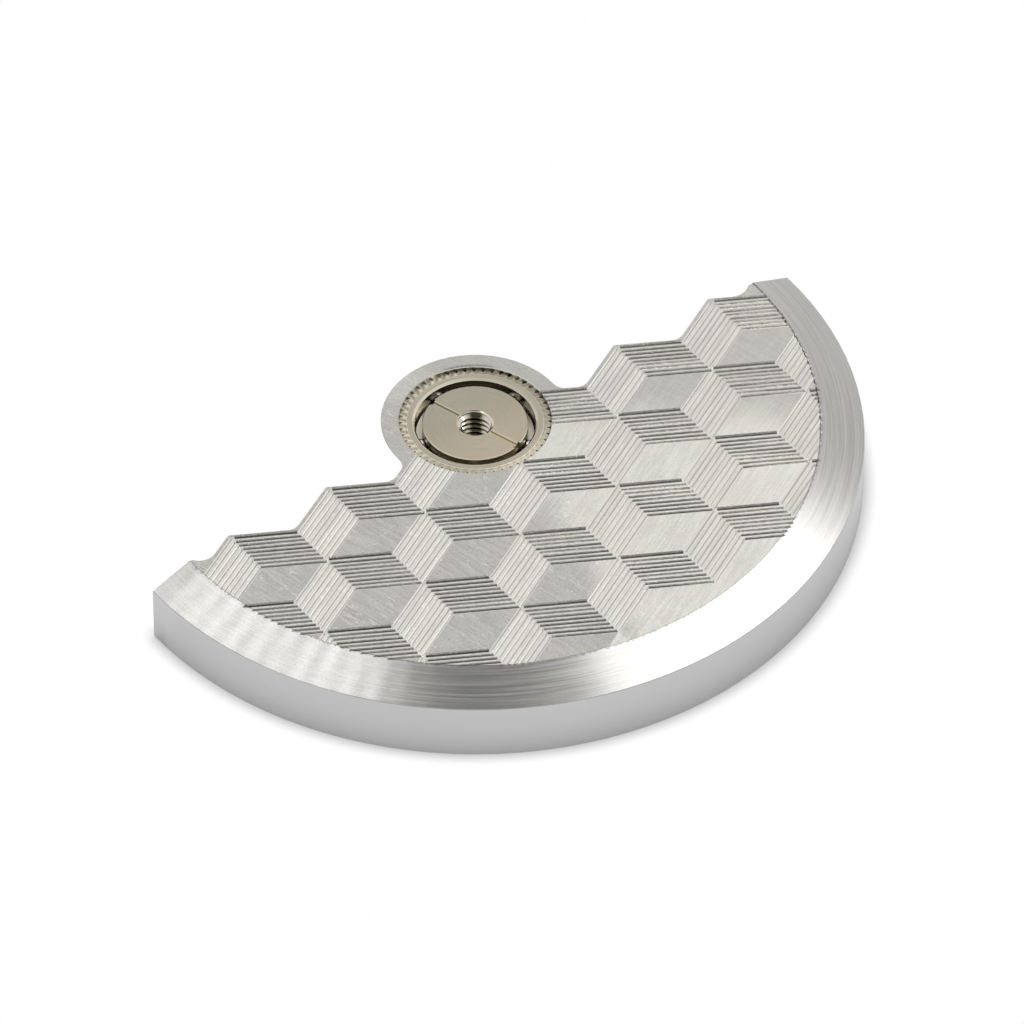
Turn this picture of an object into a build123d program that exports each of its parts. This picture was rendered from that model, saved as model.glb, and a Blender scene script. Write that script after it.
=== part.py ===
"""Winding rotor of an automatic watch on its ball bearing, in millimetres.

The origin is on the bearing's axis, in the plane where the core stands on the movement.
+Z points up, out of the movement's back. The heavy half of the rotor lies towards -Y.
"""
from build123d import *
from math import atan2, cos, degrees, dist, hypot, pi, radians, sin, sqrt, tan
import os

# Overall stack
plate_top = 1.70                # plate's upper face above the core's foot
plate_thickness = 0.40
plate_edge_bevel = 0.02         # broken edge round the plate's open upper edges
rim_height = 2.54               # plate's upper face down to the rim's foot

# Heavy rim, a half ring
rim_outer_radius = 12.50
rim_slope_width = 1.42          # radial width of the sloping top
rim_slope_drop = 0.54
ledge_width = 0.90              # shelf under the plate's edge
seam_gap = 0.012                # joint line between plate and rim
rim_edge_bevel = 0.02           # broken edge between slope and wall
rim_foot_bevel = 0.03

# Plate outline along the chord
cube_width = 3.775              # one cube of the engraved pattern, left to right
cube_height = 1.64              # length of a cube's upright edge
cube_edge_angle = 28.2          # slope of a cube's slanting edges, in degrees
rows_of_cubes = 4
pattern_top = 0.19              # upper corners of the first row, along Y
first_row_drop = 0.135          # the first row is engraved this much lower
outline_margin = 0.19           # plate left standing above the first row
peak_radius = 0.13
valley_radius = 0.47
left_tip_radius = 0.55          # hollow between the plate's last slope and the rim's end
right_tip_radius = 0.64
boss_wall = 0.58                # plate left round the bearing
boss_edge_land = 0.04           # upright edge of the boss, undercut below it
boss_undercut_overlap = 6       # degrees by which the undercut runs past the boss's half
boss_fillet_radius = 0.44       # hollow between the boss and the slopes beside it
same_place = 0.001              # outline corners nearer than this are one corner

# Engraved grooves
groove_pitch = 0.20             # measured along the cube's upright edge
groove_width = 0.115            # on the cubes' right-hand faces
groove_depth = 0.032
fine_groove_width = 0.085       # on the cubes' left-hand faces
fine_groove_depth = 0.023
first_groove_width = 0.17
first_groove_depth = 0.05
groove_end_land = 0.025         # plate left at each end of a groove
first_groove_setback = 0.12     # the first groove of a right-hand face starts this far in
first_groove_rise = 0.04        # and lies this much higher than its place in the pitch
cutter_lift = 0.008             # the cutter's flanks run on this far above the plate

# Ball bearing
ball_count = 5
first_ball_angle = 18           # in the plan, in degrees from +X
ball_radius = 0.26
ball_height = 1.00              # ball centres above the core's foot
pitch_radius = 1.79             # circle of the ball centres
race_gap = 0.015                # play between a ball and its races
shoulder_reach = 0.16           # from the ball circle to the races' shoulders
cage_play = 0.05                # between the cage and the shoulders
cage_drop = 0.345               # cage below the ball centres
cage_rise = 0.10                # cage above the ball centres
pocket_play = 0.025

# Outer ring
ring_recess = 0.075             # ring's face below the plate's face
ring_drop = 0.50                # ring's lower face below the ball centres
ring_foot_bevel_width = 0.23    # slope round the ring's lower face
ring_foot_bevel_height = 0.30
ring_mouth_bevel = 0.06
collar_width = 0.505            # from the ring's mouth to the plate's bore
collar_slope_width = 0.255      # sloping top of the collar
collar_slope_drop = 0.04
serration_count = 52
serration_length = 0.15         # inwards from the plate's bore
serration_width = 0.15          # at the plate's bore
serration_depth = 0.14          # at the plate's bore
serration_lift = 1.5            # the cutter's height over the serration's depth
press_gap = 0.005               # between pressed faces
flange_reach = 0.14             # flange beyond the plate's bore
flange_thickness = 0.18
ring_wall = 0.20                # metal round the ball track

# Winding gear, pressed in the ring's lower mouth
gear_module = 0.10              # pitch diameter over the number of teeth
gear_addendum = 0.10            # tooth above the pitch circle
gear_dedendum = 0.125           # tooth below the pitch circle
gear_set_in = 0.04              # pitch circle inside the ring's mouth by at least this
gear_wall = 0.27                # from the gear's bore to its tooth roots
gear_thickness = 0.20
gear_collar_wall = 0.235        # collar that is pressed in the ring
gear_collar_length = 0.12

# Core, in two parts
disc_gap = 0.24                 # between the disc and the ring's mouth
disc_recess = 0.055             # disc's face below the ring's face
disc_thickness = 0.26
disc_bevel = 0.03
race_wall = 0.32                # metal between the ball track and the hub
lower_race_drop = 0.45          # lower race's foot below the ball centres
thread_radius = 0.60            # M1.2 with a fine pitch
thread_mouth_bevel = 0.01
slot_width = 0.15
slot_depth = 0.075
slot_edge_bevel = 0.03
slot_offset = 0.05              # the slot lies this far beside the axis
slot_angle = 108.5              # direction of the slot in the plan, in degrees from +X
notch_width = 0.30              # recess at each end of the slot
notch_length = 0.07
notch_depth = 0.42

overrun = 1.0                   # cutters run this far past what they cut

# Widths of a gear tooth at its tip and at its root, of the tooth's pitch
gear_tooth_shares = (0.25, 0.72)

# Worked out from the sizes above
rim_inner_radius = rim_outer_radius - rim_slope_width
ledge_radius = rim_inner_radius - ledge_width
plate_radius = rim_inner_radius - seam_gap
plate_foot = plate_top - plate_thickness
rim_foot = plate_top - rim_height
half_cube = cube_width / 2
cubes_in_top_row = 2 * int((plate_radius - 2 * left_tip_radius + half_cube) / cube_width)
grooves_per_face = 1 + int(cube_height / groove_pitch)
edge_rise = half_cube * tan(radians(cube_edge_angle))
edge_length = half_cube / cos(radians(cube_edge_angle))
row_pitch = cube_height + edge_rise
track_reach = (ball_radius + race_gap) * sqrt(2)
mouth_radius = pitch_radius + shoulder_reach
shoulder_radius = pitch_radius - shoulder_reach
hub_radius = pitch_radius - track_reach - race_wall
bore_radius = mouth_radius + collar_width
boss_radius = bore_radius + boss_wall
disc_radius = mouth_radius - disc_gap
ring_top = plate_top - ring_recess
ring_bottom = ball_height - ring_drop
disc_top = ring_top - disc_recess
flange_foot = plate_foot - flange_thickness
flange_radius = bore_radius + flange_reach
ring_radius = pitch_radius + track_reach + ring_wall
gear_teeth = int(2 * (mouth_radius - gear_set_in) / gear_module)
gear_pitch_radius = gear_module * gear_teeth / 2
gear_root_radius = gear_pitch_radius - gear_dedendum
gear_tip_radius = gear_pitch_radius + gear_addendum
gear_bore_radius = gear_root_radius - gear_wall
gear_collar_radius = mouth_radius - press_gap
collar_tip_radius = bore_radius - press_gap
collar_slope_radius = collar_tip_radius - collar_slope_width
collar_edge_top = ring_top - collar_slope_drop


def corner(column, row):
    """Top corner of a cube; each row is shifted half a cube against the one above it."""
    x = (column - (cubes_in_top_row - 1) / 2 - row / 2) * cube_width
    y = pattern_top - row * row_pitch
    if row == 0:
        y -= first_row_drop
    return x, y


def turned(points, sweep=360):
    """Solid of revolution about Z from (radius, height) points."""
    face = Plane.XZ * make_face(Polyline(*points, close=True))
    return revolve(face, Axis.Z, sweep)


def toothed(teeth, root, tip, shares):
    """Flat face with trapezoidal teeth."""
    tip_share, root_share = shares
    points = []
    for tooth in range(teeth):
        flank = [(root, -root_share), (tip, -tip_share), (tip, tip_share), (root, root_share)]
        for radius, share in flank:
            angle = 2 * pi * (tooth + share / 2) / teeth
            points.append((radius * cos(angle), radius * sin(angle)))
    return make_face(Polyline(*points, close=True))


def plate_outline():
    """Half disc whose chord follows the first row of cubes, with a round boss about the bearing."""
    peak = corner(0, 0)[1] + outline_margin
    valley = peak - edge_rise
    zigzag = []
    for column in range(cubes_in_top_row):
        x = corner(column, 0)[0]
        if column:
            zigzag.append((x - half_cube, valley))
        zigzag.append((x, peak))
    last_peak = zigzag[-1][0]
    foot = peak - (plate_radius - last_peak) * tan(radians(cube_edge_angle))
    horn = max(0, foot) + 2 * right_tip_radius
    outside = plate_radius + right_tip_radius
    left = [(-outside, -outside), (-outside, horn), (-plate_radius, horn), (-plate_radius, foot)]
    right = [(-x, y) for x, y in reversed(left)]
    outline = make_face(Polyline(*left, *zigzag, *right, close=True)) + Circle(boss_radius)

    def rounded(face, places, radius):
        """Rounds the corners of the face that lie at the given places."""
        def chosen(vertex):
            return any(hypot(vertex.X - x, vertex.Y - y) < same_place for x, y in places)

        return fillet(face.vertices().filter_by(chosen), radius)

    free = [(x, y) for x, y in zigzag if hypot(x, y) > boss_radius]
    outline = rounded(outline, [left[-1]], left_tip_radius)
    outline = rounded(outline, [right[0]], right_tip_radius)
    outline = rounded(outline, [place for place in free if place[1] == peak], peak_radius)
    joins = [(v.X, v.Y) for v in outline.vertices() if abs(hypot(v.X, v.Y) - boss_radius) < same_place]
    valleys = [place for place in free if place[1] == valley]
    slope_length = min(dist(join, place) for join in joins for place in valleys)
    room = slope_length / 2
    outline = rounded(outline, valleys, min(valley_radius, room / tan(radians(cube_edge_angle))))
    outline = rounded(outline, joins, min(boss_fillet_radius, room))
    outline = outline & Circle(plate_radius)
    for side in (-1, 1):
        outline -= Pos(side * plate_radius, horn) * Rectangle(plate_radius - last_peak, 2 * horn)
    return outline - Circle(bore_radius)


def cutter(width, depth, length):
    """V-shaped cutter along +X with its point at the groove's depth."""
    half = width / 2 * (depth + cutter_lift) / depth
    outline = Polyline((0, -depth), (half, cutter_lift), (-half, cutter_lift), close=True)
    return extrude(Plane.YZ * make_face(outline), length)


def grooves():
    """Groove cutters of all cubes as (nearest, furthest, cutter), with each one's reach from Z."""
    plain_length = edge_length - 2 * groove_end_land
    plain = cutter(groove_width, groove_depth, plain_length)
    fine = cutter(fine_groove_width, fine_groove_depth, plain_length)
    wide_length = edge_length - first_groove_setback - groove_end_land
    wide = cutter(first_groove_width, first_groove_depth, wide_length)
    cutters = []
    for row in range(rows_of_cubes):
        for column in range(cubes_in_top_row + row):
            x, y = corner(column, row)
            for turn, usual in ((-cube_edge_angle, plain), (180 + cube_edge_angle, fine)):
                end_x = x + edge_length * cos(radians(turn))
                for k in range(grooves_per_face):
                    top = y - k * groove_pitch
                    end_y = top - edge_rise
                    reaches = sorted([hypot(x, top), hypot(end_x, end_y)])
                    first = k == 0 and turn < 0
                    start = first_groove_setback if first else groove_end_land
                    rise = first_groove_rise if first else 0
                    place = Pos(x, top + rise, plate_top) * Rot(0, 0, turn) * Pos(start, 0, 0)
                    cutters.append((*reaches, place * (wide if first else usual)))
    return cutters


def weight_plate(cutters):
    """Thin engraved segment that carries the rim and is pressed on the bearing."""
    plate = extrude(Pos(0, 0, plate_foot) * plate_outline(), plate_thickness)
    upper_edges = plate.faces().sort_by(Axis.Z)[-1].edges()

    def open_edge(edge):
        middle = edge @ 0.5
        return hypot(middle.X, middle.Y) < plate_radius - same_place

    plate = chamfer(upper_edges.filter_by(open_edge), plate_edge_bevel)
    plate -= boss_undercut()
    clear = bore_radius + edge_rise / 2
    return plate - [tool for near, far, tool in cutters if near < plate_radius and far > clear]


def boss_undercut():
    """Cutter that bevels the boss from below, over the half that stands clear of the cubes."""
    reach = plate_thickness - boss_edge_land + overrun
    ring = turned([
        (boss_radius - reach, plate_foot - overrun),
        (boss_radius + reach, plate_foot - overrun),
        (boss_radius, plate_top - boss_edge_land),
    ], 180 + 2 * boss_undercut_overlap)
    return Rot(0, 0, -boss_undercut_overlap) * ring


def heavy_rim(cutters):
    """Half ring with a sloping top, an upright wall and a shelf for the plate."""
    rim = turned([
        (ledge_radius, rim_foot + rim_foot_bevel),
        (ledge_radius + rim_foot_bevel, rim_foot),
        (rim_outer_radius - rim_foot_bevel, rim_foot),
        (rim_outer_radius, rim_foot + rim_foot_bevel),
        (rim_outer_radius, plate_top - rim_slope_drop - rim_edge_bevel),
        (rim_outer_radius - rim_edge_bevel, plate_top - rim_slope_drop),
        (rim_inner_radius, plate_top),
        (rim_inner_radius, plate_foot),
        (ledge_radius, plate_foot),
    ], -180)
    return rim - [tool for near, far, tool in cutters if near < rim_outer_radius and far > plate_radius]


def bearing_outer_ring():
    """Outer race with a serrated collar for the plate and a flange that the plate stands on."""
    track = pitch_radius + track_reach
    slant = track - mouth_radius
    body = turned([
        (mouth_radius, ring_bottom),
        (mouth_radius, ball_height - slant),
        (track, ball_height),
        (mouth_radius, ball_height + slant),
        (mouth_radius, ring_top - ring_mouth_bevel),
        (mouth_radius + ring_mouth_bevel, ring_top),
        (collar_slope_radius, ring_top),
        (collar_tip_radius, collar_edge_top),
        (collar_tip_radius, plate_foot),
        (flange_radius, plate_foot),
        (flange_radius, flange_foot),
        (ring_radius, flange_foot),
        (ring_radius, ring_bottom + ring_foot_bevel_height),
        (ring_radius - ring_foot_bevel_width, ring_bottom),
    ])
    return body - serrations()


def serrations():
    """V-shaped cutters round the collar, deepest at the plate's bore."""
    start_radius = collar_tip_radius - serration_length
    start_top = collar_edge_top + serration_length * collar_slope_drop / collar_slope_width
    fall = start_top - (collar_edge_top - serration_depth)
    tilt = atan2(fall, serration_length)
    height = serration_depth * cos(tilt) * serration_lift
    half = serration_width / 2 * serration_lift
    section = make_face(Polyline((0, 0), (half, height), (-half, height), close=True))
    length = hypot(fall, serration_length) * serration_lift
    tool = Pos(start_radius, 0, start_top) * Rot(0, degrees(tilt), 0) * extrude(Plane.YZ * section, length)
    return [Rot(0, 0, 360 * k / serration_count) * tool for k in range(serration_count)]


def winding_gear():
    """Toothed ring under the outer race, with a collar pressed in the race's lower mouth."""
    gear = toothed(gear_teeth, gear_root_radius, gear_tip_radius, gear_tooth_shares)
    gear -= Circle(gear_bore_radius)
    collar = Circle(gear_collar_radius) - Circle(gear_collar_radius - gear_collar_wall)
    foot = Pos(0, 0, ring_bottom)
    return extrude(foot * gear, -gear_thickness) + extrude(foot * collar, gear_collar_length)


def core_upper_race():
    """Slotted disc with the upper half of the inner race and a threaded hub."""
    apex = pitch_radius - track_reach
    slant = shoulder_radius - apex
    disc_foot = disc_top - disc_thickness
    body = turned([
        (thread_radius, 0),
        (hub_radius, 0),
        (hub_radius, ball_height),
        (apex, ball_height),
        (shoulder_radius, ball_height + slant),
        (shoulder_radius, disc_foot),
        (disc_radius, disc_foot),
        (disc_radius, disc_top - disc_bevel),
        (disc_radius - disc_bevel, disc_top),
        (thread_radius + thread_mouth_bevel, disc_top),
        (thread_radius, disc_top - thread_mouth_bevel),
    ])
    turn = Pos(0, 0, disc_top) * Rot(0, 0, slot_angle) * Pos(0, slot_offset, 0)
    half = slot_width / 2
    open_half = half + slot_edge_bevel + overrun
    section = Polyline(
        (-half, -slot_depth),
        (half, -slot_depth),
        (half, -slot_edge_bevel),
        (open_half, overrun),
        (-open_half, overrun),
        (-half, -slot_edge_bevel),
        close=True,
    )
    body -= turn * extrude(Plane.YZ * make_face(section), disc_radius + overrun, both=True)
    for side in (-1, 1):
        notch = Box(2 * notch_length, notch_width, 2 * notch_depth)
        body -= turn * Pos(side * disc_radius, 0, 0) * notch
    return body


def core_lower_race():
    """Ring on the hub with the lower half of the inner race."""
    apex = pitch_radius - track_reach
    slant = shoulder_radius - apex
    race_foot = ball_height - lower_race_drop
    return turned([
        (hub_radius + press_gap, race_foot),
        (shoulder_radius, race_foot),
        (shoulder_radius, ball_height - slant),
        (apex, ball_height),
        (hub_radius + press_gap, ball_height),
    ])


def ball_places():
    """Ball centres, evenly spaced on their circle."""
    for k in range(ball_count):
        angle = radians(first_ball_angle) + 2 * pi * k / ball_count
        yield pitch_radius * cos(angle), pitch_radius * sin(angle), ball_height


def ball_cage():
    """Sleeve between the races with a pocket open at the top for each ball."""
    wall = shoulder_reach - cage_play
    cage = turned([
        (pitch_radius - wall, ball_height - cage_drop),
        (pitch_radius + wall, ball_height - cage_drop),
        (pitch_radius + wall, ball_height + cage_rise),
        (pitch_radius - wall, ball_height + cage_rise),
    ])
    return cage - [Pos(*place) * Sphere(ball_radius + pocket_play) for place in ball_places()]


def main():
    os.makedirs("parts", exist_ok=True)
    cutters = grooves()
    nodes = {
        "weight_plate": weight_plate(cutters),
        "heavy_rim": heavy_rim(cutters),
        "bearing_outer_ring": bearing_outer_ring(),
        "winding_gear": winding_gear(),
        "core_upper_race": core_upper_race(),
        "core_lower_race": core_lower_race(),
        "ball_cage": ball_cage(),
    }
    for number, place in enumerate(ball_places(), 1):
        nodes[f"ball_{number}"] = Pos(*place) * Sphere(ball_radius)
    for name, shape in nodes.items():
        export_step(shape, f"parts/{name}.step")


main()
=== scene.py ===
"""Looks of the winding rotor: brushed plate and rim, nickelled bearing, thread, floor and studio light."""

from math import radians

import bpy
import numpy as np
from mathutils import Matrix, Vector


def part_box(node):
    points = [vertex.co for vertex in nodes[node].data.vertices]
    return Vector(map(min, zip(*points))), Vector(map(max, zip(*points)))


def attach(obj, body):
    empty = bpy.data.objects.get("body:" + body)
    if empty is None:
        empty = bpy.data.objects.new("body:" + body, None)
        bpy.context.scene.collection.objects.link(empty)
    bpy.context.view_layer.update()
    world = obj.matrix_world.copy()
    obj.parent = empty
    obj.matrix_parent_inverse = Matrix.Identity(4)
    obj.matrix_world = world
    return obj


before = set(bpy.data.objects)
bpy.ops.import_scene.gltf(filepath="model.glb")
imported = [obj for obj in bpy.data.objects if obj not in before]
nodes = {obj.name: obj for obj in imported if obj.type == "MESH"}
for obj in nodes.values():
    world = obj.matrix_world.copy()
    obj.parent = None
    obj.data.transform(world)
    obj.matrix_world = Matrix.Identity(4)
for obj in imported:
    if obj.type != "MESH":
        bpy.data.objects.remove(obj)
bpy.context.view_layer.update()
scene = bpy.context.scene

MM = 0.001

# Camera at the photograph's viewing angle, millimetres and unit directions
CAMERA_PLACE = (-136.861, -191.668, 228.705)
CAMERA_RIGHT = (0.81296, -0.58231, 0.00366)
CAMERA_UP = (0.40577, 0.57097, 0.71368)
CAMERA_LENS = 358.8
SENSOR_WIDTH = 36.0

# Sizes that the finishes follow, millimetres and degrees
CUBE_WIDTH = 3.775
CUBE_HEIGHT = 1.64
CUBE_SLOPE = 28.2
PATTERN_TOP = 0.19
FIRST_ROW_DROP = 0.135
FIRST_ROW_FOOT = -2.45
SEAM_RADIUS = 11.08
BOSS_RADIUS = 3.1
COLLAR_RADIUS = 2.20
MOUTH_RADIUS = 2.01
SERRATIONS = 52
BALLS = 5

# Thread in the core, millimetres and degrees
THREAD_PITCH = 0.20
THREAD_MAJOR = 0.605
THREAD_MINOR = 0.485
THREAD_START = -120
THREAD_LEAD = 0.10
LEAD_RIDGE = 0.02
THREAD_ABOVE_FOOT = 0.02
THREAD_BELOW_TOP = 0.035
RUN_OUT_TURNS = 0.45
STEPS_PER_TURN = 48
CREST_FADE = 1.6

# Painted shade on the thread: a dark band round the bore's far side, standing in for a dark reflection.
# Direction in degrees, cosines from it where the band begins and is full, colour
THREAD_SHADE_DIRECTION = 52
THREAD_SHADE_EDGE = 0.91
THREAD_SHADE_CORE = 0.98
THREAD_SHADE_COLOUR = (0.16, 0.145, 0.10, 1.0)

# Brush strokes of the plate, degrees, and the directions across them in which their highlights spread
LEFT_STROKES = 75
RIGHT_STROKES = -28
LEFT_SPREAD = (0.966, 0.259, 0.0)
RIGHT_SPREAD = (0.469, -0.883, 0.0)

# Painted reflection bands on the rim's left end, standing in for light caught by the turned lines: their
# number in a full turn, degrees where they begin and are full
RIM_REFLECTION_BANDS = 92.0
REFLECTION_BANDS_START = -128
REFLECTION_BANDS_FULL = -138

# Studio walls: radiance levels, direction of the dark gap, half angles in degrees of its core and its reach
WALL_LEVEL = 0.78
GAP_LEVEL = 0.24
GAP_DIRECTION = (-0.04, -0.17, 0.985)
GAP_CORE = 14
GAP_REACH = 34

# Floor: half its side in metres, its glow, reach in millimetres and strength of the shadow, seen and mirrored
FLOOR_SIDE = 1.5
FLOOR_GLOW = 1.0
CONTACT_REACH = 0.5
MIRRORED_REACH = 1.6
CONTACT_SHADE = 0.84
MIRRORED_SHADE = 0.95

# Lamps: name, azimuth and elevation in degrees, width and height in metres, radiance. Their distance is in
# metres, and LAMP_POWER is the watts for each square metre and unit of radiance.
LAMP_DISTANCE = 0.40
LAMP_POWER = 4.0
SOFT_BOXES = (
    ("right softbox", 2, 60.0, 0.245, 0.252, 1.68),
    ("back softbox", 111, 66.8, 0.17, 0.21, 1.02),
    ("upper strip", 113, 75.5, 0.14, 0.07, 0.40),
)


def place_camera():
    """Sets a long lens where the photographer stood."""
    data = bpy.data.cameras.new("camera")
    data.sensor_width = SENSOR_WIDTH
    data.lens = CAMERA_LENS
    data.clip_start = 0.01
    data.clip_end = 20.0
    camera = bpy.data.objects.new("camera", data)
    right = Vector(CAMERA_RIGHT).normalized()
    back = right.cross(Vector(CAMERA_UP)).normalized()
    up = back.cross(right)
    turn = Matrix((right, up, back)).transposed().to_4x4()
    camera.matrix_world = Matrix.Translation(Vector(CAMERA_PLACE) * MM) @ turn
    scene.collection.objects.link(camera)
    scene.camera = camera


def feed(tree, made, inputs):
    """Fills a node's inputs: a value given as a socket is linked, any other is set."""
    for key, value in inputs.items():
        if isinstance(value, bpy.types.NodeSocket):
            tree.links.new(value, made.inputs[key])
        else:
            made.inputs[key].default_value = value


def add(tree, kind, inputs=None, **settings):
    """Adds a shader node with its settings and inputs."""
    made = tree.nodes.new("ShaderNode" + kind)
    for key, value in settings.items():
        setattr(made, key, value)
    feed(tree, made, inputs or {})
    return made


def calc(tree, operation, *values, clamp=False):
    """One Math node, its value returned."""
    made = add(tree, "Math", dict(enumerate(values)), operation=operation, use_clamp=clamp)
    return made.outputs[0]


def times(tree, first, second):
    """Product of two values."""
    return calc(tree, "MULTIPLY", first, second)


def plus(tree, first, second):
    """Sum of two values."""
    return calc(tree, "ADD", first, second)


def minus(tree, first, second):
    """First value less the second."""
    return calc(tree, "SUBTRACT", first, second)


def vec(tree, operation, *values):
    """One Vector Math node, its vector returned."""
    made = add(tree, "VectorMath", dict(enumerate(values)), operation=operation)
    return made.outputs[0]


def millimetres(tree, place):
    """A place in metres as millimetres."""
    return vec(tree, "MULTIPLY", place, (1000.0, 1000.0, 1000.0))


def length(tree, vector):
    """Length of a vector."""
    return add(tree, "VectorMath", {0: vector}, operation="LENGTH").outputs["Value"]


def noise(tree, place, scale, detail):
    """Soft noise over a place in millimetres, 0 to 1."""
    return add(tree, "TexNoise", {"Vector": place, "Scale": scale, "Detail": detail}).outputs[0]


def carry(tree, vector, kind, source, target):
    """A vector or normal taken from one space to another."""
    made = add(tree, "VectorTransform", {0: vector}, vector_type=kind, convert_from=source, convert_to=target)
    return made.outputs[0]


def turned_parts(tree, vector, angle):
    """X, Y and Z of a vector turned about the Z axis."""
    turned = add(tree, "VectorRotate", {"Vector": vector, "Angle": angle}, rotation_type="Z_AXIS").outputs[0]
    return add(tree, "SeparateXYZ", {0: turned}).outputs


def ease(tree, value, low, high, out_low=0.0, out_high=1.0):
    """Smooth step of a value between two limits."""
    inputs = {"Value": value, "From Min": low, "From Max": high, "To Min": out_low, "To Max": out_high}
    return add(tree, "MapRange", inputs, interpolation_type="SMOOTHSTEP").outputs[0]


def blend_colours(tree, factor, first, second, blend_type="MIX"):
    """Mix node for colours; inputs 0, 6 and 7 are its factor and two colours."""
    made = add(tree, "Mix", {0: factor, 6: first, 7: second}, data_type="RGBA", blend_type=blend_type)
    return made.outputs[2]


def start_group(name, inputs, outputs):
    """Empty shader node group with named sockets, given as (name, kind, default)."""
    group = bpy.data.node_groups.new(name, "ShaderNodeTree")
    for label, kind, default in inputs:
        socket = group.interface.new_socket(label, in_out="INPUT", socket_type="NodeSocket" + kind)
        if default is not None:
            socket.default_value = default
    for label, kind in outputs:
        group.interface.new_socket(label, in_out="OUTPUT", socket_type="NodeSocket" + kind)
    entry = group.nodes.new("NodeGroupInput").outputs
    leave = group.nodes.new("NodeGroupOutput").inputs
    return group, entry, leave


def use(tree, group, **inputs):
    """Places a group in a tree and returns its outputs."""
    made = tree.nodes.new("ShaderNodeGroup")
    made.node_tree = group
    feed(tree, made, inputs)
    return made.outputs


def make_turned_lines():
    """Fine lines round the Z axis: noise over (direction * run, radius * fineness, height * fineness)."""
    inputs = [("Vector", "Vector", None), ("Fineness", "Float", 12.0), ("Run", "Float", 3.0)]
    group, entry, leave = start_group("turned lines", inputs, [("Lines", "Float"), ("Radius", "Float")])
    mm = millimetres(group, entry["Vector"])
    flat = vec(group, "MULTIPLY", mm, (1.0, 1.0, 0.0))
    radius = length(group, flat)
    around = add(group, "VectorMath", {0: flat}, operation="NORMALIZE").outputs[0]
    around = add(group, "VectorMath", {0: around, "Scale": entry["Run"]}, operation="SCALE").outputs[0]
    height = add(group, "SeparateXYZ", {0: mm}).outputs["Z"]
    across = times(group, radius, entry["Fineness"])
    rise = times(group, height, entry["Fineness"])
    place = vec(group, "ADD", around, add(group, "CombineXYZ", {"Z": across}).outputs[0])
    settings = {"Vector": place, "W": rise, "Scale": 1.0, "Detail": 3.0, "Roughness": 0.6}
    lines = add(group, "TexNoise", settings, noise_dimensions="4D")
    group.links.new(lines.outputs[0], leave["Lines"])
    group.links.new(radius, leave["Radius"])
    return group


def make_stroke_lines():
    """Straight brush strokes: noise over the place turned by Angle, stretched along the stroke."""
    inputs = [("Vector", "Vector", None), ("Angle", "Float", 0.0), ("Fineness", "Float", 12.0)]
    inputs += [("Run", "Float", 1.0), ("Detail", "Float", 3.0)]
    group, entry, leave = start_group("stroke lines", inputs, [("Lines", "Float")])
    parts = turned_parts(group, millimetres(group, entry["Vector"]), entry["Angle"])
    along = times(group, parts["X"], entry["Run"])
    across = times(group, parts["Y"], entry["Fineness"])
    rise = times(group, parts["Z"], entry["Fineness"])
    place = add(group, "CombineXYZ", {"X": along, "Y": across, "Z": rise}).outputs[0]
    settings = {"Vector": place, "Scale": 1.0, "Detail": entry["Detail"], "Roughness": 0.6}
    group.links.new(add(group, "TexNoise", settings).outputs[0], leave["Lines"])
    return group


def make_hairline_scratches():
    """Sparse hairlines: level lines of a stretched noise, kept where a coarse noise is high."""
    inputs = [("Vector", "Vector", None), ("Angle", "Float", 0.0), ("Fineness", "Float", 4.0)]
    inputs += [("Run", "Float", 0.5), ("Width", "Float", 0.02), ("Share", "Float", 0.5)]
    group, entry, leave = start_group("hairline scratches", inputs, [("Mask", "Float")])
    mm = millimetres(group, entry["Vector"])
    parts = turned_parts(group, mm, entry["Angle"])
    along = times(group, parts["X"], entry["Run"])
    across = times(group, parts["Y"], entry["Fineness"])
    place = add(group, "CombineXYZ", {"X": along, "Y": across, "Z": parts["Z"]}).outputs[0]
    off = calc(group, "ABSOLUTE", minus(group, noise(group, place, 1.0, 1.0), 0.5))
    line = minus(group, 1.0, calc(group, "DIVIDE", off, entry["Width"], clamp=True))
    cut = minus(group, 1.0, entry["Share"])
    kept = ease(group, noise(group, mm, 1.3, 1.0), cut, plus(group, cut, 0.1))
    group.links.new(times(group, line, kept), leave["Mask"])
    return group


def make_flank_mask():
    """Which way a facet faces.

    Flank is 1 on slopes, Wall on upright faces, Right on the grooves of right-hand faces, and Away on those
    groove flanks that look away from the front.
    """
    outputs = [("Flank", "Float"), ("Wall", "Float"), ("Right", "Float"), ("Away", "Float")]
    group, _, leave = start_group("flank mask", [], outputs)
    facet = add(group, "NewGeometry").outputs["True Normal"]
    parts = add(group, "SeparateXYZ", {0: carry(group, facet, "NORMAL", "WORLD", "OBJECT")}).outputs
    right = ease(group, times(group, parts["X"], parts["Y"]), -0.02, 0.02)
    group.links.new(ease(group, parts["Z"], 0.93, 0.985, 1.0, 0.0), leave["Flank"])
    group.links.new(ease(group, parts["Z"], 0.15, 0.45, 1.0, 0.0), leave["Wall"])
    group.links.new(right, leave["Right"])
    group.links.new(times(group, right, ease(group, parts["X"], 0.0, 0.1)), leave["Away"])
    return group


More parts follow.
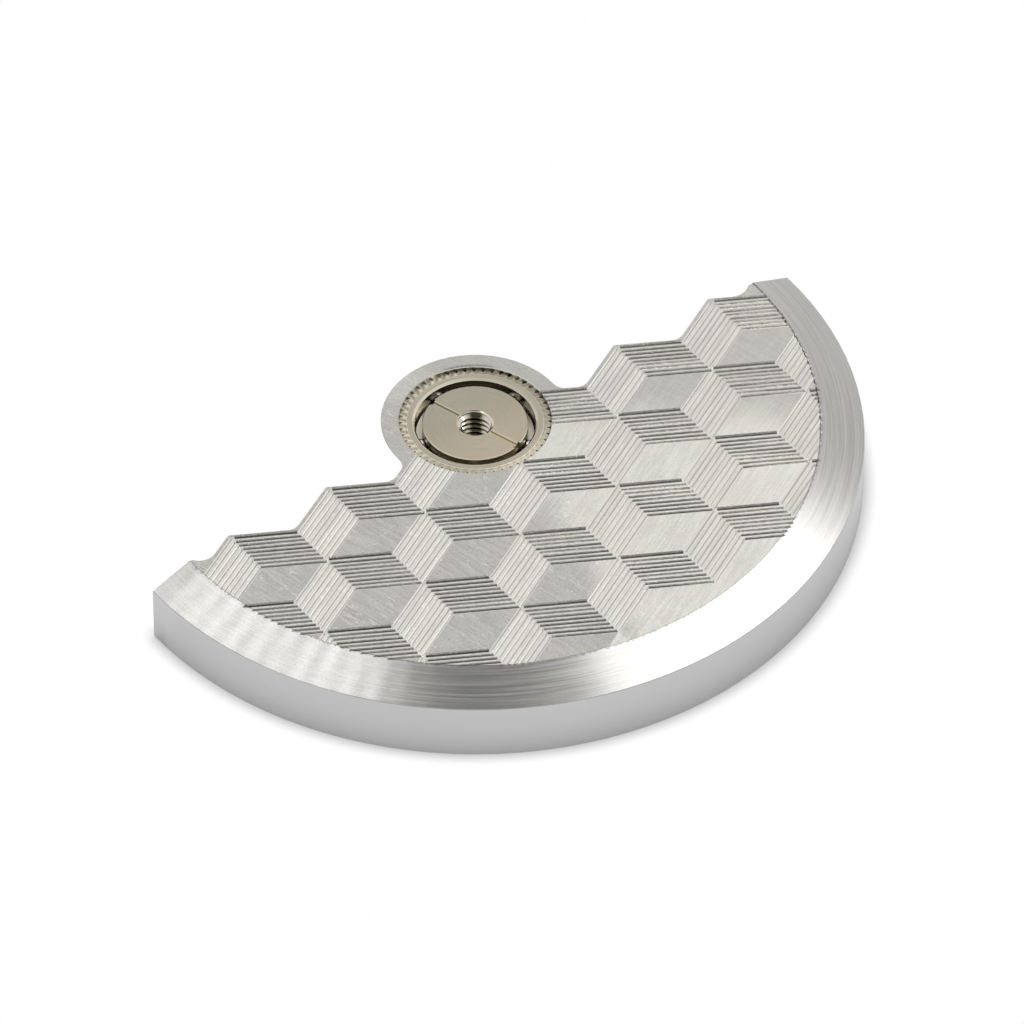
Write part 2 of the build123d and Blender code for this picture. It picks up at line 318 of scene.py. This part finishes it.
def make_cube_faces():
    """Which grooved face of the cubes a place lies in, and First on a right-hand face's first groove.

    The plane is cut in upright strips half a cube wide. The distance up from a slanting edge, taken along the
    upright, repeats every two rows within a strip, and the top cube height of each repeat is a grooved face.
    """
    outputs = [("Left", "Float"), ("Right", "Float"), ("First", "Float")]
    group, entry, leave = start_group("cube faces", [("Vector", "Vector", None)], outputs)
    half = CUBE_WIDTH / 2
    slope = float(np.tan(radians(CUBE_SLOPE)))
    rise = half * slope
    repeat = 2 * (CUBE_HEIGHT + rise)
    first_margin = 0.08
    first_depth = 0.22
    face_margin = 0.04
    pattern_margin = 0.02
    mm = millimetres(group, entry["Vector"])
    parts = add(group, "SeparateXYZ", {0: mm}).outputs
    x = minus(group, parts["X"], half)
    strip = calc(group, "FLOOR", calc(group, "DIVIDE", x, half))
    lowered = times(group, calc(group, "GREATER_THAN", parts["Y"], FIRST_ROW_FOOT), FIRST_ROW_DROP)
    down = plus(group, minus(group, parts["Y"], PATTERN_TOP), lowered)
    lean = times(group, x, slope)
    left = times(group, plus(group, strip, 1.0), CUBE_HEIGHT + 2 * rise)
    left = plus(group, minus(group, down, lean), left)
    left = calc(group, "FLOORED_MODULO", left, repeat)
    right = plus(group, plus(group, down, lean), times(group, strip, CUBE_HEIGHT))
    first = calc(group, "FLOORED_MODULO", plus(group, right, first_margin), repeat)
    right = calc(group, "FLOORED_MODULO", right, repeat)
    beside = calc(group, "GREATER_THAN", calc(group, "ABSOLUTE", parts["X"]), half)
    below = calc(group, "LESS_THAN", parts["Y"], FIRST_ROW_FOOT)
    inside = calc(group, "LESS_THAN", down, pattern_margin)
    clear = times(group, calc(group, "MAXIMUM", beside, below), inside)
    foot = repeat - CUBE_HEIGHT - face_margin
    left = times(group, calc(group, "GREATER_THAN", left, foot), clear)
    right = times(group, calc(group, "GREATER_THAN", right, foot), clear)
    group.links.new(left, leave["Left"])
    group.links.new(right, leave["Right"])
    group.links.new(calc(group, "LESS_THAN", first, first_depth), leave["First"])
    return group


def grey(tree, value):
    """A value as a colour."""
    return add(tree, "CombineXYZ", {"X": value, "Y": value, "Z": value}).outputs[0]


def mix(tree, factor, first, second):
    """Mix node for values."""
    return add(tree, "Mix", {0: factor, 2: first, 3: second}).outputs[0]


def toned(tree, colour, tone):
    """A colour times a grey tone."""
    return blend_colours(tree, 1.0, colour, grey(tree, tone), "MULTIPLY")


def angle_about_axis(tree, parts):
    """Angle of a place about the Z axis, in radians from X."""
    return calc(tree, "ARCTAN2", parts["Y"], parts["X"])


def toward(tree, angle, direction):
    """Cosine of the angle from a direction in degrees, 1 where the place lies that way."""
    return calc(tree, "COSINE", minus(tree, angle, radians(direction)))


def near(tree, value, centre, edge, core):
    """1 where a value lies within core of a centre, 0 from edge on."""
    return ease(tree, calc(tree, "ABSOLUTE", minus(tree, value, centre)), edge, core)


def noise_round(tree, angle, fineness):
    """Noise along the way round the axis, 0 to 1."""
    settings = {"W": times(tree, angle, fineness), "Scale": 1.0, "Detail": 1.0}
    return add(tree, "TexNoise", settings, noise_dimensions="1D").outputs[0]


def strokes_along(tree, place, angle, fineness, run, detail=3.0):
    """Brush strokes at an angle in degrees."""
    settings = {"Vector": place, "Angle": radians(angle), "Fineness": fineness, "Run": run, "Detail": detail}
    return use(tree, stroke_lines, **settings)["Lines"]


def start_metal(name, colour, roughness, anisotropic=0.0):
    """Metal material: its tree, Principled shader and the object's own coordinates."""
    material = bpy.data.materials.new(name)
    material.use_nodes = True
    tree = material.node_tree
    tree.nodes.clear()
    settings = {"Base Color": (*colour, 1.0), "Metallic": 1.0}
    settings.update({"Roughness": roughness, "Anisotropic": anisotropic})
    shader = add(tree, "BsdfPrincipled", settings)
    add(tree, "OutputMaterial", {"Surface": shader.outputs[0]})
    place = add(tree, "TexCoord").outputs["Object"]
    return material, tree, shader, place


def point_strokes(tree, shader, direction):
    """Turns the brushed highlight: it spreads along the given direction, across the strokes."""
    tree.links.new(carry(tree, direction, "VECTOR", "OBJECT", "WORLD"), shader.inputs["Tangent"])


def outward(tree, place):
    """Unit vector away from the Z axis."""
    flat = vec(tree, "MULTIPLY", place, (1.0, 1.0, 0.0))
    return add(tree, "VectorMath", {0: flat}, operation="NORMALIZE").outputs[0]


def bump(tree, shader, height, distance_mm):
    """Feeds a height, as a share of a distance in millimetres, into the shader's normal."""
    made = add(tree, "Bump", {"Height": height, "Distance": distance_mm * MM, "Strength": 1.0})
    tree.links.new(made.outputs[0], shader.inputs["Normal"])


def lower_right_strokes(tree, mm, parts):
    """Where the plate's strokes run to the lower right: between two wandering lines, below the boss."""
    wander = noise(tree, mm, 0.45, 2.0)
    across = plus(tree, parts["X"], times(tree, minus(tree, wander, 0.5), 3.0))
    slant = times(tree, plus(tree, parts["Y"], 5.0), 0.2)
    enter = ease(tree, minus(tree, across, slant), -3.0, 0.6)
    depth = times(tree, plus(tree, parts["Y"], 2.6), 1.2)
    leave = ease(tree, plus(tree, across, depth), 2.5, 7.0, 1.0, 0.40)
    below_boss = ease(tree, parts["Y"], 1.0, -0.8)
    return times(tree, times(tree, enter, leave), below_boss)


def boss_painted_light(tree, angle, radius, boss):
    """Tone added on the boss: a painted highlight behind, painted shade near the bore beside the collar."""
    # Painted highlight: a lighter patch on the boss behind the bore.
    painted_boss_highlight = ease(tree, toward(tree, angle, 108), 0.90, 0.99)
    painted_boss_highlight = times(tree, times(tree, painted_boss_highlight, boss), 0.12)
    # Painted shade: a darker patch near the bore, beside the collar.
    painted_bore_shade = ease(tree, toward(tree, angle, 60), 0.92, 0.98)
    painted_bore_shade = times(tree, times(tree, painted_bore_shade, ease(tree, radius, 2.62, 2.48)), 0.42)
    return minus(tree, painted_boss_highlight, painted_bore_shade)


def scratch_tone(tree, place, west):
    """Tone added by bright and dark hairlines, stronger on the left."""
    bright = {"Angle": radians(78), "Fineness": 4.5, "Run": 0.9, "Width": 0.024, "Share": 0.56}
    dark = {"Angle": radians(-40), "Fineness": 4.0, "Run": 0.5, "Width": 0.014, "Share": 0.46}
    bright = use(tree, hairline_scratches, Vector=place, **bright)["Mask"]
    dark = use(tree, hairline_scratches, Vector=place, **dark)["Mask"]
    bright = times(tree, bright, mix(tree, west, 0.04, 0.26))
    return minus(tree, bright, times(tree, dark, mix(tree, west, 0.03, 0.10)))


def groove_tone(tree, place, parts, faces, cubes, chatter):
    """Tone in the grooves, with painted shade: light in left-hand faces and a little darker deeper down; in
    right-hand ones painted light at the top edge, dark and uneven deeper down; darker on flanks that look
    away from the front.
    """
    fineness = 4.6
    run = 0.15
    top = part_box("weight_plate")[1].z / MM
    # Painted shade: the tone goes darker deeper in a groove.
    groove_depth_shade = ease(tree, parts["Z"], top - 0.032, top - 0.008, 1.0, 0.0)
    first_groove_depth_shade = ease(tree, parts["Z"], top - 0.038, top - 0.018, 1.0, 0.0)
    right_groove_depth_shade = mix(tree, cubes["First"], groove_depth_shade, first_groove_depth_shade)
    right_line = strokes_along(tree, place, CUBE_SLOPE, fineness, run, 1.0)
    left_line = strokes_along(tree, place, -CUBE_SLOPE, fineness, run, 1.0)
    uneven = mix(tree, cubes["First"], ease(tree, right_line, 0.42, 0.58, 0.35, 1.90), 0.62)
    uneven = times(tree, uneven, ease(tree, chatter, 0.32, 0.62, 0.7, 1.1))
    weaker_right = ease(tree, parts["X"], -8.0, 1.0, 0.85, 1.45)
    stronger_below = ease(tree, parts["Y"], -7.6, -8.6, 1.0, 0.8)
    uneven = times(tree, uneven, times(tree, weaker_right, stronger_below))
    # Painted shade in right-hand grooves, with a painted highlight at their top edge.
    shaded_right_cut = mix(tree, right_groove_depth_shade, 1.35, times(tree, uneven, 0.54))
    light_cut = times(tree, mix(tree, groove_depth_shade, 1.0, 0.90), ease(tree, left_line, 0.42, 0.58, 0.84, 1.0))
    tone = mix(tree, faces["Right"], light_cut, shaded_right_cut)
    # Painted shade: flanks that look away from the front are darker.
    return times(tree, tone, mix(tree, faces["Away"], 1.0, 0.8))


def seam_pits(tree, angle, radius):
    """Small pits along the plate's edge at the rim, on the right-hand side only."""
    nibble = noise_round(tree, angle, 60.0)
    edge = minus(tree, radius, times(tree, nibble, 0.10))
    pits = ease(tree, edge, SEAM_RADIUS - 0.095, SEAM_RADIUS - 0.075)
    pits = times(tree, pits, ease(tree, nibble, 0.56, 0.50))
    return times(tree, pits, ease(tree, angle, radians(-48), radians(-34)))


def plate_finish():
    """Engraved steel plate, hand stroked across on the left and to the lower right; painted highlights light
    its grooves, the lower-right strokes, the east faces and the boss, and painted shade darkens the grooves
    and a patch by the bore.
    """
    colour = (0.575, 0.567, 0.525)
    material, tree, shader, place = start_metal("engraved plate", colour, 0.40, 0.75)
    faces = use(tree, flank_mask)
    cubes = use(tree, cube_faces, Vector=place)
    mm = millimetres(tree, place)
    parts = add(tree, "SeparateXYZ", {0: mm}).outputs
    radius = length(tree, vec(tree, "MULTIPLY", mm, (1.0, 1.0, 0.0)))
    angle = angle_about_axis(tree, parts)
    east = ease(tree, parts["X"], 3.0, 8.0)
    west = ease(tree, parts["X"], 2.5, -2.5)
    boss = ease(tree, radius, BOSS_RADIUS + 0.4, BOSS_RADIUS)
    grooved = calc(tree, "MAXIMUM", cubes["Left"], times(tree, cubes["Right"], 0.8))
    lit = calc(tree, "MAXIMUM", lower_right_strokes(tree, mm, parts), grooved)
    left_strokes = strokes_along(tree, place, LEFT_STROKES, 14.0, 0.9)
    right_strokes = strokes_along(tree, place, RIGHT_STROKES, 14.0, 0.7)
    strokes = mix(tree, lit, left_strokes, right_strokes)
    strokes = mix(tree, times(tree, boss, 0.75), strokes, 0.5)
    chatter = strokes_along(tree, place, LEFT_STROKES, 26.0, 7.0, 2.0)
    tone = ease(tree, strokes, 0.38, 0.62, 0.83, 0.97)
    grain = minus(tree, noise(tree, mm, 16.0, 1.0), 0.5)
    tone = plus(tree, tone, times(tree, grain, mix(tree, east, 0.42, 0.24)))
    # Painted light: the plain faces on the east are made lighter.
    lighter_east_faces = times(tree, east, minus(tree, 1.0, grooved))
    tone = plus(tree, tone, times(tree, lighter_east_faces, 0.09))
    # Painted highlight: the lower-right strokes and the grooved faces are made lighter.
    tone = plus(tree, tone, times(tree, lit, 0.20))
    tone = plus(tree, tone, boss_painted_light(tree, angle, radius, boss))
    tone = plus(tree, tone, scratch_tone(tree, place, west))
    tone = mix(tree, faces["Flank"], tone, groove_tone(tree, place, parts, faces, cubes, chatter))
    tone = mix(tree, seam_pits(tree, angle, radius), tone, 0.22)
    tree.links.new(toned(tree, (*colour, 1.0), tone), shader.inputs["Base Color"])
    worn = ease(tree, strokes, 0.3, 0.7, 0.36, 0.44)
    cut_roughness = mix(tree, faces["Right"], 0.36, 0.20)
    tree.links.new(mix(tree, faces["Flank"], worn, cut_roughness), shader.inputs["Roughness"])
    spread = add(tree, "Mix", {0: lit, 4: LEFT_SPREAD, 5: RIGHT_SPREAD}, data_type="VECTOR").outputs[1]
    point_strokes(tree, shader, spread)
    cut_height = times(tree, chatter, mix(tree, faces["Right"], 1.6, 6.0))
    bump(tree, shader, mix(tree, faces["Flank"], strokes, cut_height), 0.0012)
    return material


def ragged_seam(tree, angle, radius):
    """Nicks in the rim's inner edge, along the seam with the plate."""
    nibble = noise_round(tree, angle, 80.0)
    edge = minus(tree, radius, times(tree, nibble, 0.10))
    nicks = ease(tree, edge, SEAM_RADIUS, SEAM_RADIUS - 0.02)
    return times(tree, nicks, ease(tree, nibble, 0.48, 0.54))


def rim_finish():
    """Heavy alloy rim: sloping top with turned lines, faint painted reflection bands and painted shade at its
    left end, satin wall and shelf.
    """
    colour = (0.541, 0.536, 0.517)
    satin = (0.605, 0.603, 0.610, 1.0)
    material, tree, shader, place = start_metal("heavy alloy rim", colour, 0.25, 0.94)
    faces = use(tree, flank_mask)
    fine = use(tree, turned_lines, Vector=place, Fineness=20.0, Run=3.2)
    broad = use(tree, turned_lines, Vector=place, Fineness=5.0, Run=1.6)["Lines"]
    lines = mix(tree, 0.18, fine["Lines"], broad)
    mm = millimetres(tree, place)
    angle = angle_about_axis(tree, add(tree, "SeparateXYZ", {0: place}).outputs)
    left = ease(tree, angle, radians(REFLECTION_BANDS_START), radians(REFLECTION_BANDS_FULL))
    # Painted reflection: bands of light and dark across the slope's left end.
    reflection_bands_and_marks = calc(tree, "SINE", plus(tree, times(tree, angle, RIM_REFLECTION_BANDS), times(tree, broad, 2.5)))
    swell = ease(tree, noise(tree, mm, 0.9, 2.0), 0.35, 0.65, 0.02, 0.10)
    reflection_bands_and_marks = times(tree, times(tree, reflection_bands_and_marks, left), swell)
    # Painted shade: the slope's left end is made a little darker.
    reflection_bands_and_marks = minus(tree, reflection_bands_and_marks, times(tree, left, 0.06))
    speck = minus(tree, noise(tree, mm, 14.0, 1.0), 0.5)
    reflection_bands_and_marks = plus(tree, reflection_bands_and_marks, times(tree, speck, mix(tree, left, 0.08, 0.22)))
    reflection_bands_and_marks = minus(tree, reflection_bands_and_marks, times(tree, ragged_seam(tree, angle, fine["Radius"]), 0.22))
    slope = toned(tree, (*colour, 1.0), plus(tree, ease(tree, lines, 0.36, 0.64, 0.88, 1.08), reflection_bands_and_marks))
    tree.links.new(blend_colours(tree, faces["Wall"], slope, satin), shader.inputs["Base Color"])
    rough = ease(tree, lines, 0.3, 0.7, 0.19, 0.25)
    tree.links.new(mix(tree, faces["Wall"], rough, 0.33), shader.inputs["Roughness"])
    point_strokes(tree, shader, outward(tree, place))
    bump(tree, shader, mix(tree, faces["Wall"], lines, times(tree, lines, 0.2)), 0.0012)
    return material


def turned_finish(name, colour, roughness, anisotropic, depth=0.0003):
    """Turned metal, its lines this deep in millimetres."""
    material, tree, shader, place = start_metal(name, colour, roughness, anisotropic)
    lines = use(tree, turned_lines, Vector=place, Fineness=16.0, Run=1.5)["Lines"]
    tone = ease(tree, lines, 0.3, 0.7, 0.95, 1.05)
    rough = ease(tree, lines, 0.3, 0.7, roughness * 0.9, roughness * 1.12)
    tree.links.new(toned(tree, (*colour, 1.0), tone), shader.inputs["Base Color"])
    tree.links.new(rough, shader.inputs["Roughness"])
    point_strokes(tree, shader, outward(tree, place))
    bump(tree, shader, lines, depth)
    return material


def bearing_finish():
    """Nickelled outer ring: turned face, polished mouth bevel, collar with slanting marks; painted light
    brightens the far side, the mouth bevel and a line on the collar, and painted shade darkens a line beside
    it, the collar's near side and the upright faces.
    """
    colour = (0.505, 0.463, 0.372)
    knurl_slant = 14.0
    material, tree, shader, place = start_metal("nickelled bearing", colour, 0.26, 0.4)
    turned = use(tree, turned_lines, Vector=place, Fineness=16.0, Run=1.5)
    lines = turned["Lines"]
    radius = turned["Radius"]
    faces = use(tree, flank_mask)
    angle = angle_about_axis(tree, add(tree, "SeparateXYZ", {0: place}).outputs)
    # Painted light: back is 1 on the ring's far side, which below gets stronger marks, a lighter collar and a
    # brighter mouth.
    back = ease(tree, toward(tree, angle, 125), 0.1, 0.8)
    collar = ease(tree, radius, COLLAR_RADIUS - 0.02, COLLAR_RADIUS + 0.02)
    mouth = ease(tree, radius, MOUTH_RADIUS + 0.03, MOUTH_RADIUS)
    knurl = calc(tree, "SINE", plus(tree, times(tree, angle, SERRATIONS), times(tree, radius, knurl_slant)))
    knurl = times(tree, knurl, times(tree, collar, mix(tree, back, 0.12, 0.34)))
    # Painted highlight: a thin light line at the collar's edge; painted shade: a thin dark line just outside
    # it.
    ridge = near(tree, radius, COLLAR_RADIUS, 0.018, 0.006)
    painted_dark_line = near(tree, radius, COLLAR_RADIUS + 0.045, 0.020, 0.008)
    tone = plus(tree, ease(tree, lines, 0.3, 0.7, 0.95, 1.05), knurl)
    tone = times(tree, tone, mix(tree, collar, 1.0, mix(tree, back, 0.85, 1.2)))
    tone = plus(tree, tone, times(tree, ridge, 0.22))
    tone = minus(tree, tone, times(tree, painted_dark_line, 0.20))
    # Painted highlight on the mouth bevel, stronger on the far side.
    tone = plus(tree, tone, times(tree, mouth, mix(tree, back, 0.22, 0.60)))
    # Painted shade: the ring's upright faces are made darker.
    tone = mix(tree, faces["Wall"], tone, 0.60)
    tree.links.new(toned(tree, (*colour, 1.0), tone), shader.inputs["Base Color"])
    rough = mix(tree, collar, ease(tree, lines, 0.3, 0.7, 0.23, 0.29), 0.38)
    tree.links.new(mix(tree, mouth, rough, 0.16), shader.inputs["Roughness"])
    point_strokes(tree, shader, outward(tree, place))
    bump(tree, shader, lines, 0.0003)
    return material


def core_finish():
    """Nickelled core: satin disc, painted lighter and warmer towards the weight, with a painted highlight on
    its broken edges.
    """
    cool = (0.435, 0.402, 0.322, 1.0)
    warm = (0.515, 0.455, 0.350, 1.0)
    material, tree, shader, place = start_metal("nickelled core", cool[:3], 0.30, 0.3)
    lines = use(tree, turned_lines, Vector=place, Fineness=16.0, Run=1.5)["Lines"]
    faces = use(tree, flank_mask)
    parts = add(tree, "SeparateXYZ", {0: millimetres(tree, place)}).outputs
    # Painted light: the disc is lighter and warmer on its near half, towards the weight.
    base = blend_colours(tree, ease(tree, parts["Y"], 1.3, -1.0), cool, warm)
    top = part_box("core_upper_race")[1].z / MM
    sunk = ease(tree, parts["Z"], top - 0.022, top - 0.040)
    tone = ease(tree, lines, 0.3, 0.7, 0.985, 1.015)
    # Painted highlight on the sloping broken edges; below the top, the sunk slot floor and walls are kept
    # only a little lighter.
    tone = mix(tree, faces["Flank"], tone, 1.5)
    tone = mix(tree, sunk, tone, 1.1)
    tone = mix(tree, faces["Wall"], tone, 1.05)
    tree.links.new(toned(tree, base, tone), shader.inputs["Base Color"])
    tree.links.new(ease(tree, lines, 0.3, 0.7, 0.27, 0.33), shader.inputs["Roughness"])
    point_strokes(tree, shader, outward(tree, place))
    bump(tree, shader, lines, 0.0001)
    return material


def thread_finish():
    """Polished thread; its far side carries a band of painted shade, thinner in the lead."""
    colour = (0.74, 0.70, 0.60)
    material, tree, shader, place = start_metal("polished thread", colour, 0.12)
    parts = add(tree, "SeparateXYZ", {0: place}).outputs
    # Painted shade: the far side of the bore is darkened, less so in the lead.
    thread_shade = ease(tree, toward(tree, angle_about_axis(tree, parts), THREAD_SHADE_DIRECTION), THREAD_SHADE_EDGE, THREAD_SHADE_CORE)
    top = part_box("core_upper_race")[1].z
    lead = THREAD_LEAD * MM
    thread_shade = times(tree, thread_shade, ease(tree, parts["Z"], top - 1.2 * lead, top - 1.8 * lead, 0.45, 1.0))
    tree.links.new(blend_colours(tree, thread_shade, (*colour, 1.0), THREAD_SHADE_COLOUR), shader.inputs["Base Color"])
    return material


def dress(node, material):
    """Gives a CAD node one material."""
    mesh = nodes[node].data
    mesh.materials.clear()
    mesh.materials.append(material)


def make_thread(name, foot, top, start):
    """Thread ridge in the core's bore: a V profile carried up a helix and cut off level under the mouth.

    The helix passes the angle start, in degrees, at its foot: angle = start + 360 * rise / pitch. The crest
    fades in from the foot over 1 / CREST_FADE turns and is bevelled back over the last THREAD_LEAD below the
    top. A profile point is (share of the ridge's depth, share of the pitch).
    """
    turns = (top - foot) / THREAD_PITCH + RUN_OUT_TURNS
    steps = int(turns * STEPS_PER_TURN) + 1
    along = np.linspace(0.0, turns, steps)
    angle = radians(start) + 2 * np.pi * along
    fade = np.clip(along * CREST_FADE, 0.0, 1.0)
    profile = np.array([
        [0.0, -0.5], [0.0, -0.44], [1.0, -0.07], [1.0, 0.07],
        [0.0, 0.44], [0.0, 0.5], [-0.12, 0.5], [-0.12, -0.5],
    ])
    height = foot + (along[:, None] + profile[None, :, 1]) * THREAD_PITCH
    height = np.clip(height, foot, top)
    depth = profile[None, :, 0] * (THREAD_MAJOR - THREAD_MINOR)
    room = np.clip(top - height, 0.0, THREAD_LEAD)
    depth = np.where(depth > 0, np.minimum(depth * fade[:, None], room + LEAD_RIDGE), depth)
    radius = THREAD_MAJOR - depth
    points = np.stack([radius * np.cos(angle)[:, None], radius * np.sin(angle)[:, None], height], -1) * MM
    return loft(name, points)


def loft(name, points):
    """Closed tube mesh through rows of points, each row a ring, with flat ends."""
    rows, ring = points.shape[:2]
    row, k = np.meshgrid(np.arange(rows - 1), np.arange(ring), indexing="ij")
    following = (k + 1) % ring
    first = row * ring
    second = first + ring
    quads = np.stack([first + k, first + following, second + following, second + k], -1).reshape(-1, 4)
    ends = [list(range(ring))[::-1], list(range((rows - 1) * ring, rows * ring))]
    mesh = bpy.data.meshes.new(name)
    mesh.from_pydata(points.reshape(-1, 3).tolist(), [], quads.tolist() + ends)
    mesh.update()
    piece = bpy.data.objects.new(name, mesh)
    scene.collection.objects.link(piece)
    return piece


def make_floor(level):
    """Pale floor, white to the camera and in reflections, faintly shaded by the object, clear from below."""
    mesh = bpy.data.meshes.new("floor")
    corners = [(x * FLOOR_SIDE, y * FLOOR_SIDE, level) for x, y in ((-1, -1), (1, -1), (1, 1), (-1, 1))]
    mesh.from_pydata(corners, [], [(0, 1, 2, 3)])
    floor = bpy.data.objects.new("floor", mesh)
    scene.collection.objects.link(floor)
    material = bpy.data.materials.new("floor paper")
    material.use_nodes = True
    tree = material.node_tree
    tree.nodes.clear()
    path = add(tree, "LightPath").outputs
    seen = calc(tree, "MAXIMUM", path["Is Camera Ray"], path["Is Glossy Ray"])
    seen = calc(tree, "MAXIMUM", seen, path["Is Transmission Ray"])
    paper = add(tree, "BsdfDiffuse", {"Color": (0.80, 0.80, 0.80, 1.0)}).outputs[0]
    reach = mix(tree, path["Is Glossy Ray"], CONTACT_REACH * MM, MIRRORED_REACH * MM)
    shade = mix(tree, path["Is Glossy Ray"], CONTACT_SHADE, MIRRORED_SHADE)
    contact = add(tree, "AmbientOcclusion", {"Distance": reach}, samples=8).outputs["AO"]
    hidden = minus(tree, 1.0, contact)
    glow = minus(tree, FLOOR_GLOW, times(tree, hidden, shade))
    lift = add(tree, "Emission", {"Color": (1.0, 1.0, 1.0, 1.0), "Strength": glow}).outputs[0]
    lit = add(tree, "MixShader", {0: seen, 1: paper, 2: lift}).outputs[0]
    clear = add(tree, "BsdfTransparent").outputs[0]
    below = add(tree, "NewGeometry").outputs["Backfacing"]
    both = add(tree, "MixShader", {0: below, 1: lit, 2: clear}).outputs[0]
    add(tree, "OutputMaterial", {"Surface": both})
    mesh.materials.append(material)


def light_world():
    """Studio walls: white at the horizon, pale above it, with a dark gap overhead between the softboxes.

    level = wall(height) mixed to GAP_LEVEL where the direction lies within the gap's cone.
    """
    world = bpy.data.worlds.new("studio")
    scene.world = world
    world.use_nodes = True
    tree = world.node_tree
    tree.nodes.clear()
    aim = add(tree, "TexCoord").outputs["Generated"]
    rise = add(tree, "SeparateXYZ", {0: aim}).outputs["Z"]
    wall = ease(tree, rise, 0.0, 0.35, 1.0, WALL_LEVEL)
    to_gap = add(tree, "VectorMath", {0: aim, 1: GAP_DIRECTION}, operation="DOT_PRODUCT").outputs["Value"]
    gap = ease(tree, to_gap, float(np.cos(radians(GAP_REACH))), float(np.cos(radians(GAP_CORE))))
    level = mix(tree, gap, wall, GAP_LEVEL)
    studio = add(tree, "Background", {"Color": (1.0, 1.0, 1.0, 1.0), "Strength": level}).outputs[0]
    add(tree, "OutputWorld", {"Surface": studio})


def soft_box(name, azimuth, elevation, width, height, radiance):
    """Rectangular lamp that looks at the object from a direction given in degrees."""
    az, el = radians(azimuth), radians(elevation)
    aim = Vector((np.cos(el) * np.cos(az), np.cos(el) * np.sin(az), np.sin(el)))
    data = bpy.data.lights.new(name, "AREA")
    data.shape = "RECTANGLE"
    data.size = width
    data.size_y = height
    data.energy = LAMP_POWER * width * height * radiance
    lamp = bpy.data.objects.new(name, data)
    side = Vector((0, 0, 1)).cross(aim).normalized()
    turn = Matrix((side, aim.cross(side), aim)).transposed().to_4x4()
    lamp.matrix_world = Matrix.Translation(aim * LAMP_DISTANCE) @ turn
    scene.collection.objects.link(lamp)


place_camera()
light_world()
for box in SOFT_BOXES:
    soft_box(*box)

turned_lines = make_turned_lines()
cube_faces = make_cube_faces()
stroke_lines = make_stroke_lines()
hairline_scratches = make_hairline_scratches()
flank_mask = make_flank_mask()

core = core_finish()
dress("weight_plate", plate_finish())
dress("heavy_rim", rim_finish())
dress("bearing_outer_ring", bearing_finish())
dress("core_upper_race", core)
dress("core_lower_race", core)
dress("winding_gear", turned_finish("brass", (0.78, 0.58, 0.30), 0.25, 0.4))
dress("ball_cage", turned_finish("nickelled cage", (0.62, 0.58, 0.49), 0.28, 0.3))
steel = turned_finish("polished balls", (0.66, 0.65, 0.63), 0.10, 0.0, depth=0.0)
for number in range(1, BALLS + 1):
    dress(f"ball_{number}", steel)

low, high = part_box("core_upper_race")
foot = low.z / MM + THREAD_ABOVE_FOOT
top = high.z / MM - THREAD_BELOW_TOP
thread = make_thread("thread", foot, top, THREAD_START)
thread.data.materials.append(thread_finish())
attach(thread, "core")

make_floor(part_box("heavy_rim")[0].z)

scene.view_settings.view_transform = "Standard"
